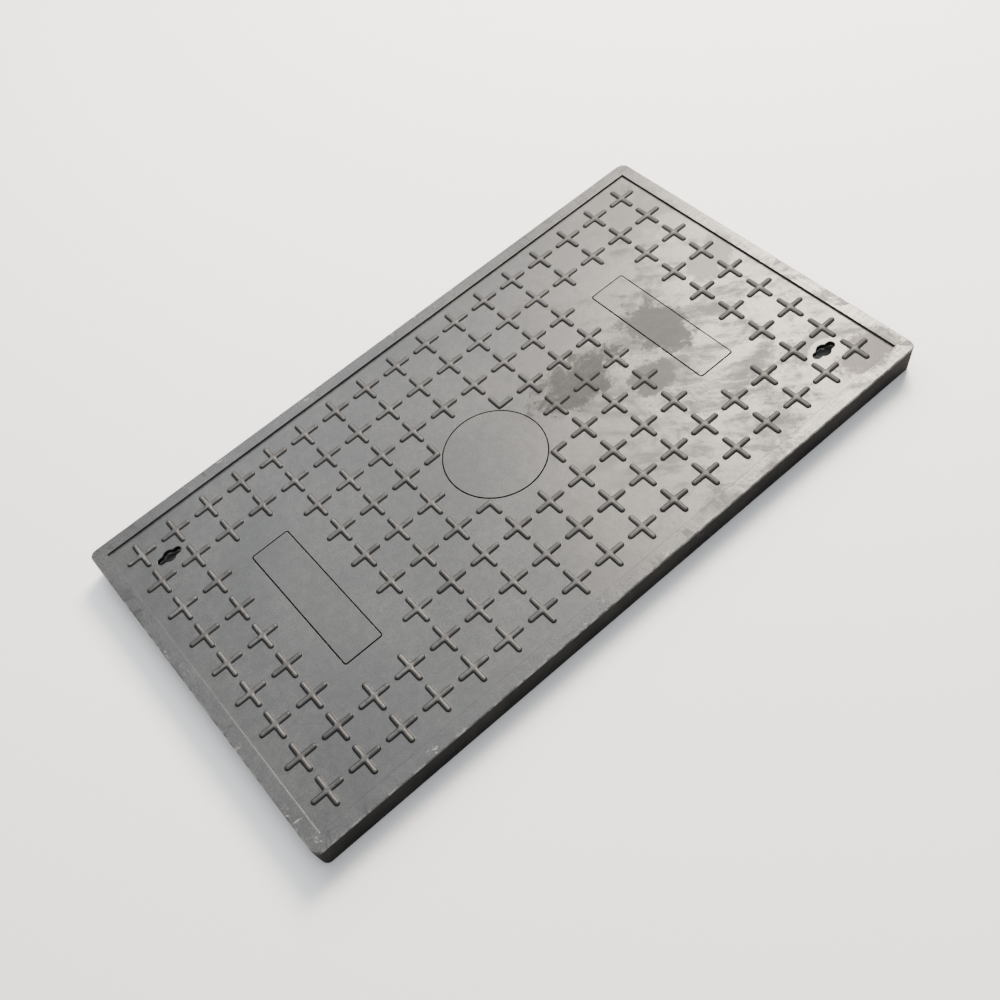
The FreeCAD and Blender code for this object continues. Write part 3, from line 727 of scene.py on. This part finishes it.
# %% Flow fronts and dull patches
DULL_PATCHES = [  # x, y, reach along x, reach along y, dullness
    (0.27, 0.0, 0.045, 0.058, 0.65), (0.14, 0.008, 0.075, 0.038, 0.8),
    (0.41, -0.215, 0.05, 0.03, 0.45), (0.375, -0.165, 0.045, 0.022, 0.4),
    (0.39, 0.17, 0.06, 0.05, 0.35), (0.40, 0.03, 0.05, 0.035, 0.35),
    (0.21, -0.06, 0.04, 0.035, 0.6), (0.30, 0.2, 0.07, 0.02, 0.3)]
GLOSSY_RING = (22 * MM, 11.5 * MM)
PATCH_FRAY, RING_FRAY = 3.0, 1.5


def dull_fronts(tree, place):
    """0 where the skin is glossy, 1 where it is dull."""
    x, y = separate(tree, place)
    fringe = mottle(tree, place, 0.022, detail=9, roughness=0.78)
    cloud = mottle(tree, place, 0.1, detail=10, roughness=0.75, distortion=0.5)
    wisps = mottle(tree, stretched(tree, place, 0.07, 0.018, 40), 1.0, detail=7, roughness=0.7)
    front = calculate(tree, "MULTIPLY_ADD", wisps, 0.4, calculate(tree, "MULTIPLY", cloud, 0.6))
    more_at_right = remap(tree, x, -0.15, 0.2, 0.12, 0.5)
    dull = calculate(tree, "MULTIPLY", remap(tree, front, 0.45, 0.6), more_at_right)
    for *oval, dullness in DULL_PATCHES:
        frayed = calculate(tree, "MULTIPLY_ADD", fringe, PATCH_FRAY, oval_distance(tree, x, y, *oval))
        dull = calculate(tree, "MAXIMUM", dull, remap(tree, frayed, 2.6, 2.15, 0.0, dullness))
    for _, middle, _ in keyholes:
        distance = oval_distance(tree, x, y, *middle, *GLOSSY_RING)
        frayed = calculate(tree, "MULTIPLY_ADD", fringe, RING_FRAY, distance)
        dull = calculate(tree, "MULTIPLY", dull, remap(tree, frayed, 1.75, 2.1))
    return dull


print(len(DULL_PATCHES), "dull patches and", len(keyholes), "glossy rings")

# %% [markdown]
# ## Scratches and scuffs
# Handling leaves short pale marks on the rim: fine strokes in two directions, small flecks, and a few scuffs
# of loose flakes where the cover was set down on its edge. Long scratches would look like writing, so the
# strokes are kept short. Three stretched noises make them, cut off high so that little is left, and a mask
# of groups lets them show only here and there.

# %% Marks along the rim
SCUFFS = [  # x, y, reach
    (-0.436, -0.234, 0.012), (-0.446, -0.19, 0.009), (-0.29, -0.243, 0.012), (-0.255, -0.248, 0.008),
    (-0.083, -0.249, 0.009), (-0.444, -0.095, 0.008), (-0.447, 0.06, 0.008), (0.446, -0.236, 0.01)]
STROKES = [  # turn, slide, length, level
    (12, 0.0, 0.022, 0.68), (-64, 0.31, 0.012, 0.69), (0, 0.73, 0.005, 0.68)]
STROKE_WIDTH, STROKE_FADE = 0.0021, 0.05


def from_edge(tree, place):
    """Distance inwards from the slab's outline, in metres."""
    x, y = separate(tree, place)
    sideways = calculate(tree, "SUBTRACT", HALF_LENGTH, calculate(tree, "ABSOLUTE", x))
    ahead = calculate(tree, "SUBTRACT", HALF_WIDTH, calculate(tree, "ABSOLUTE", y))
    return calculate(tree, "MINIMUM", sideways, ahead)


def scratch_marks(tree, place, edge_distance):
    """1 on short strokes and flakes along the rim, thickest at the scuffs, and 0 elsewhere."""
    flakes = mottle(tree, stretched(tree, place, 0.006, 0.0028, 35), 1.0, detail=5, roughness=0.7)
    marks = 0.0
    for turn, slide, length, level in STROKES:
        stroke = mottle(tree, stretched(tree, place, length, STROKE_WIDTH, turn, slide), 1.0, detail=2)
        marks = calculate(tree, "MAXIMUM", marks, remap(tree, stroke, level, level + STROKE_FADE))
    groups = remap(tree, mottle(tree, place, 0.06, detail=2), 0.52, 0.62)
    x, y = separate(tree, place)
    for centre_x, centre_y, reach in SCUFFS:
        distance = oval_distance(tree, x, y, centre_x, centre_y, reach, reach)
        flake = calculate(tree, "MULTIPLY_ADD", distance, -0.12, flakes)
        marks = calculate(tree, "MAXIMUM", marks, remap(tree, flake, 0.52, 0.6, 0.0, 0.75))
        groups = calculate(tree, "MAXIMUM", groups, remap(tree, distance, 1.2, 0.6))
    on_rim = remap(tree, edge_distance, 0.02, 0.004)
    return calculate(tree, "MULTIPLY", marks, calculate(tree, "MULTIPLY", on_rim, groups))


print(len(SCUFFS), "scuffs and", len(STROKES), "kinds of stroke")

# %% [markdown]
# ## Colour, gloss and relief of the skin
# The skin's colour only drifts a little, with a fine mineral grain and small blotches. A painted shade
# darkens the flanks of the crosses. Ridges, the outer edge and the scratches are paler, because rubbing turns
# the resin chalky, and on the ridges and the outer edge the paler colour is also a painted highlight. The
# roughness follows the fronts and patches, with a fine speckle, but is never glossy on a worn place, and long
# streaks along the rim are burnished a little. The surface isn't quite flat either: a slow swell, a ripple,
# an orange peel and a sandy grain are four bumps on top of one another.

# %% Colour of the top skin
# a painted shade for the crosses' flanks, and rubbed resin that is also a painted highlight on the ridges
PAINTED_SHADE, RUBBED_RESIN_AND_HIGHLIGHT = (0.005, 0.005, 0.005, 1), (0.14, 0.14, 0.136, 1)
# the pale edge colour is rubbed resin and also a painted highlight along the top edge
EDGE_RESIN_AND_HIGHLIGHT, SCRATCHED_RESIN = (0.24, 0.24, 0.235, 1), (0.45, 0.45, 0.43, 1)


def wear_and_light_mark_attribute(tree):
    """The number kept on each vertex: wear from chips, and on the crosses a painted shade and a painted
    highlight.
    """
    node = tree.nodes.new("ShaderNodeAttribute")
    node.attribute_name = "wear_and_painted_light"
    return node.outputs["Fac"]


def grained_colour(tree, place, grain, dark, light):
    """A colour that drifts between dark and light, with grain and blotches."""
    drift = remap(tree, mottle(tree, place, 0.11, detail=5), 0.35, 0.65)
    shade = remap(tree, grain, 0.36, 0.64, 0.6, 1.4)
    blotch = remap(tree, mottle(tree, place, 0.012, detail=6, roughness=0.65), 0.36, 0.64, 0.8, 1.2)
    return blend(tree, 1.0, blend(tree, drift, dark, light),
                 calculate(tree, "MULTIPLY", shade, blotch), "MULTIPLY")


def wear_and_light_mark_colour(tree, place, colour, wear_and_light_mark, edge_distance):
    """Lays a painted shade, rubbed resin that is also a painted highlight, the pale edge that is also a
    painted highlight, and scratches over a colour.
    """
    # painted shade: darkens the crosses' flanks, where the number on the vertices is middling
    painted_shade = calculate(tree, "MULTIPLY", remap(tree, wear_and_light_mark, 0.0, 0.25), remap(tree, wear_and_light_mark, 0.42, 0.3))
    # paler ridges and chips: rubbed resin, and on the ridges also a painted highlight
    rubbed_and_highlight = calculate(tree, "MULTIPLY", remap(tree, wear_and_light_mark, 0.3, 1.0),
                       remap(tree, mottle(tree, place, 0.006, detail=3), 0.4, 0.62, 0.25, 1.0))
    # pale outer edge: rubbed resin and also a painted highlight
    edge_rub_and_highlight = calculate(tree, "MULTIPLY", remap(tree, edge_distance, 0.0022, 0.0004),
                         remap(tree, mottle(tree, place, 0.012, detail=5), 0.48, 0.58, 0.25, 1.0))
    colour = tint(tree, colour, painted_shade, 0.75, PAINTED_SHADE)
    colour = tint(tree, colour, rubbed_and_highlight, 0.55, RUBBED_RESIN_AND_HIGHLIGHT)
    colour = tint(tree, colour, edge_rub_and_highlight, 0.6, EDGE_RESIN_AND_HIGHLIGHT)
    return tint(tree, colour, scratch_marks(tree, place, edge_distance), 0.7, SCRATCHED_RESIN)

# %% Gloss and relief of the top skin
WORN_ROUGHNESS, BURNISH = 0.55, -0.1


def skin_roughness(tree, place, grain, wear_and_light_mark, edge_distance, glossy, dull):
    """Roughness from glossy to dull, with speckle, worn places and burnished streaks."""
    sheen = remap(tree, dull_fronts(tree, place), 0, 1, glossy, dull)
    sheen = calculate(tree, "ADD", sheen, remap(tree, grain, 0.36, 0.64, -0.04, 0.04))
    sheen = calculate(tree, "MAXIMUM", sheen, remap(tree, wear_and_light_mark, 0.0, 0.3, 0.0, WORN_ROUGHNESS))
    along_x, along_y = (mottle(tree, stretched(tree, place, 0.07, 0.0035, turn), 1.0, detail=4)
                        for turn in (0, 90))
    streak = remap(tree, calculate(tree, "MAXIMUM", along_x, along_y), 0.5, 0.66)
    burnished = calculate(tree, "MULTIPLY", streak, remap(tree, edge_distance, 0.018, 0.014))
    return calculate(tree, "MULTIPLY_ADD", burnished, BURNISH, sheen)


def composite_skin(name, dark, light, glossy, dull):
    """Satin moulded resin; dark and light are its colours, glossy and dull its roughness."""
    material, tree, place = start_finish(name, Specular_IOR_Level=0.5)
    grain = mottle(tree, place, 0.0022, detail=4, roughness=0.75)
    wear_and_light_mark, edge_distance = wear_and_light_mark_attribute(tree), from_edge(tree, place)
    colour = grained_colour(tree, place, grain, dark, light)
    swell, ripple, peel = (mottle(tree, place, size, detail=detail)
                           for size, detail in ((0.06, 3), (0.022, 4), (0.007, 3)))
    finish_with(material,
                Base_Color=wear_and_light_mark_colour(tree, place, colour, wear_and_light_mark, edge_distance),
                Roughness=skin_roughness(tree, place, grain, wear_and_light_mark, edge_distance, glossy, dull),
                Normal=raise_layers(tree, (swell, 0.35 * MM), (ripple, 0.18 * MM),
                                    (peel, 0.07 * MM), (grain, 0.13 * MM)))
    return material


top_skin = composite_skin("composite_top_skin", dark=(0.016, 0.0165, 0.017, 1),
                          light=(0.026, 0.0262, 0.026, 1), glossy=0.32, dull=0.8)
inlay_skin = composite_skin("inlay_resin", dark=(0.015, 0.0155, 0.016, 1),
                            light=(0.023, 0.0233, 0.023, 1), glossy=0.34, dull=0.8)

# %% [markdown]
# ## Sides and underside
# The sides and the ribs come out of the mould duller than the tread, and nobody rubs them. Their colour is
# set darker than the tread's as a painted shade, and the keyhole walls and the underside take it too. They
# have upright drag marks from leaving the mould, some pale dust and a coarser skin. The drag marks are a
# noise that is squeezed less in height than in width.

# %% The composite's mould skin
MOULD_DUST = (0.09, 0.088, 0.08, 1)
DRAG_SQUEEZE = (1, 1, 0.12)


def mould_skin_and_painted_shade():
    """Matt dark resin with upright drag marks, darker than the tread as a painted shade."""
    material, tree, place = start_finish("composite_mould_skin", Specular_IOR_Level=0.06)
    drift = remap(tree, mottle(tree, place, 0.06, detail=6), 0.35, 0.65)
    grain = mottle(tree, place, 0.0016, detail=3, roughness=0.7)
    upright = tree.nodes.new("ShaderNodeMapping")
    upright.inputs["Scale"].default_value = DRAG_SQUEEZE
    feed(tree, upright.inputs["Vector"], place)
    drag = mottle(tree, upright.outputs[0], 0.004, detail=4, roughness=0.6)
    # darker than the tread's colour: a painted shade on the sides, the underside and the keyhole walls
    colour = blend(tree, drift, (0.010, 0.010, 0.0098, 1), (0.017, 0.0168, 0.016, 1))
    dust = calculate(tree, "MULTIPLY", remap(tree, drag, 0.56, 0.74),
                     remap(tree, mottle(tree, place, 0.05, detail=4), 0.5, 0.66))
    peel = mottle(tree, place, 0.012, detail=3)
    finish_with(material, Base_Color=tint(tree, colour, dust, 0.6, MOULD_DUST),
                Roughness=remap(tree, grain, 0.3, 0.7, 0.62, 0.8),
                Normal=raise_layers(tree, (peel, 0.15 * MM), (drag, 0.08 * MM), (grain, 0.06 * MM)))
    return material


for material in (top_skin, mould_skin_and_painted_shade()):
    deck_moulding.data.materials.append(material)
for inlay in inlays:
    inlay.data.materials.append(inlay_skin)

# %% [markdown]
# ## Steel
# The key plates are zinc-plated sheet, with a faint crystal pattern and small dull spots. Their screws have
# the same plating, brighter on the turned heads. The bars inside the ribs are hot-rolled steel with a brown
# bloom of rust. A metal's colour is its reflection, so the patterns go into colour and roughness together.

# %% Zinc plate
DULL_ZINC = (0.3, 0.3, 0.29, 1)


def zinc_plate():
    """Plated sheet: crystals of two greys, dull spots and fine rolling lines."""
    material, tree, place = start_finish("zinc_plated_sheet", Metallic=1.0)
    cells = tree.nodes.new("ShaderNodeTexVoronoi")
    cells.inputs["Scale"].default_value = 1 / 0.006
    feed(tree, cells.inputs["Vector"], place)
    crystal = calculate(tree, "FRACT", calculate(tree, "MULTIPLY", cells.outputs["Color"], 3.0))
    spots = remap(tree, mottle(tree, place, 0.004, detail=5), 0.55, 0.68)
    colour = blend(tree, crystal, (0.42, 0.43, 0.44, 1), (0.56, 0.57, 0.58, 1))
    sheen = remap(tree, calculate(tree, "MULTIPLY_ADD", spots, 0.5, crystal), 0.0, 1.5, 0.32, 0.6)
    rolling = mottle(tree, stretched(tree, place, 0.02, 0.0006, 0), 1.0)
    finish_with(material, Base_Color=tint(tree, colour, spots, 0.6, DULL_ZINC), Roughness=sheen,
                Normal=raise_layers(tree, (rolling, 0.01 * MM)))
    return material


plate_finish = zinc_plate()

# %% Screws and bars
def blotched_steel(name, metallic, blotches, clean, stained, sheens, relief):
    """Steel with stained blotches.

    blotches are ((size, detail, roughness), start, end) of their noise, sheens are the roughness where clean
    and where stained, and relief is (size, detail, depth).
    """
    material, tree, place = start_finish(name, Metallic=metallic)
    (size, detail, roughness), start, end = blotches
    stain = remap(tree, mottle(tree, place, size, detail=detail, roughness=roughness), start, end)
    relief_size, relief_detail, relief_depth = relief
    texture = mottle(tree, place, relief_size, detail=relief_detail)
    finish_with(material, Base_Color=blend(tree, stain, clean, stained),
                Roughness=remap(tree, stain, 0, 1, *sheens),
                Normal=raise_layers(tree, (texture, relief_depth)))
    return material


screw_finish = blotched_steel("zinc_plated_screw", 1.0, blotches=((0.0015, 4, 0.55), 0.4, 0.65),
                              clean=(0.62, 0.62, 0.6, 1), stained=(0.4, 0.4, 0.4, 1),
                              sheens=(0.24, 0.45), relief=(0.0004, 3, 0.006 * MM))
bar_finish = blotched_steel("hot_rolled_bar", 0.7, blotches=((0.008, 7, 0.65), 0.42, 0.6),
                            clean=(0.09, 0.088, 0.086, 1), stained=(0.16, 0.07, 0.035, 1),
                            sheens=(0.5, 0.85), relief=(0.002, 4, 0.05 * MM))

# %% Give the steel its finishes
steel_finishes = {"key_plate_screws": screw_finish, "key_plate": plate_finish,
                  "long_bar": bar_finish, "cross_bar": bar_finish}
finished = 0
for name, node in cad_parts.items():
    for family, material in steel_finishes.items():
        if name.startswith(family):
            node.data.materials.clear()
            node.data.materials.append(material)
            finished += 1
            break
print(finished, "steel nodes finished")

# %% [markdown]
# ## Studio
# A dark satin slab shows its finish only by what it mirrors. So a small, strong, warm softbox stands beyond
# the right end, near where the slab mirrors it towards the eye, and brings the flow fronts out. A large cool
# panel, straight across from the eye, lightens the rest of the tread, and leaves the crosses' near flanks
# dark. A third, almost overhead, whitens the floor without showing in the slab, and the room adds a little.

# %% Floor
FLOOR_HALF = 4
floor_corners = [(-FLOOR_HALF, -FLOOR_HALF, 0), (FLOOR_HALF, -FLOOR_HALF, 0),
                 (FLOOR_HALF, FLOOR_HALF, 0), (-FLOOR_HALF, FLOOR_HALF, 0)]
floor_mesh = bpy.data.meshes.new("studio_floor")
floor_mesh.from_pydata(floor_corners, [], [(0, 1, 2, 3)])
floor = bpy.data.objects.new("studio_floor", floor_mesh)
bpy.context.scene.collection.objects.link(floor)
floor_paint, _, _ = start_finish("white_floor", Base_Color=(0.88, 0.88, 0.88, 1), Roughness=0.9,
                                 Specular_IOR_Level=0.1)
floor_mesh.materials.append(floor_paint)
print("floor:", 2 * FLOOR_HALF, "m wide")

# %% Lights
LIGHT_DISTANCE = 3.0
WARM, COOL = (1.0, 0.86, 0.71), (0.95, 0.98, 1.0)
ROOM_COLOUR, ROOM_STRENGTH = (0.92, 0.96, 1.0, 1), 0.3


def direction_of(azimuth, elevation):
    """Unit vector; azimuth from +Y towards +X, both in degrees."""
    azimuth, elevation = math.radians(azimuth), math.radians(elevation)
    return Vector((math.sin(azimuth) * math.cos(elevation),
                   math.cos(azimuth) * math.cos(elevation), math.sin(elevation)))


def add_softbox(name, azimuth, elevation, side, brightness, colour):
    """A square area light that faces the middle of the cover, as bright all over as brightness."""
    light = bpy.data.lights.new(name, "AREA")
    light.shape = "SQUARE"
    light.size = side
    light.energy = brightness * math.pi * side * side
    light.color = colour
    lamp = bpy.data.objects.new(name, light)
    bpy.context.scene.collection.objects.link(lamp)
    away = direction_of(azimuth, elevation)
    lamp.location = away * LIGHT_DISTANCE
    lamp.rotation_euler = away.to_track_quat("Z", "Y").to_euler()
    lamp.visible_camera = False
    print(f"{name}: {light.energy:.0f} W")


add_softbox("key_softbox", azimuth=64, elevation=45, side=1.1, brightness=68, colour=WARM)
add_softbox("sky_panel", azimuth=26, elevation=50, side=3.0, brightness=5.0, colour=COOL)
add_softbox("overhead_panel", azimuth=200, elevation=80, side=2.4, brightness=3.0, colour=COOL)

world = bpy.context.scene.world or bpy.data.worlds.new("studio")
bpy.context.scene.world = world
world.use_nodes = True
room_light = world.node_tree.nodes["Background"].inputs
room_light["Color"].default_value = ROOM_COLOUR
room_light["Strength"].default_value = ROOM_STRENGTH

# %% [markdown]
# ## Camera
# A short telephoto look down across the cover from its near left corner, rolled so that the cover lies
# slanted in the frame, with a small shift that centres it.

# %% Camera
AIM = Vector((-0.0934, -0.0343, THICKNESS))
LOOK_AZIMUTH, LOOK_DOWN, ROLL = 23.62, 55.83, 18.56
CAMERA_DISTANCE = 1.3302
FOCAL_LENGTH, SENSOR_WIDTH = 40.9, 36
SHIFT_X, SHIFT_Y = 0.0467, 0.0157

look = direction_of(LOOK_AZIMUTH, -LOOK_DOWN)
level_right = look.cross(Vector((0, 0, 1))).normalized()
right = Quaternion(look, math.radians(ROLL)) @ level_right
up = right.cross(look)
camera_data = bpy.data.cameras.new("camera")
camera = bpy.data.objects.new("camera", camera_data)
bpy.context.scene.collection.objects.link(camera)
stand = Matrix((right, up, -look)).transposed().to_4x4()
stand.translation = AIM - look * CAMERA_DISTANCE
camera.matrix_world = stand
camera_data.sensor_width = SENSOR_WIDTH
camera_data.lens = FOCAL_LENGTH
camera_data.shift_x, camera_data.shift_y = SHIFT_X, SHIFT_Y
bpy.context.scene.camera = camera
print("camera at", [round(value, 4) for value in camera.location])
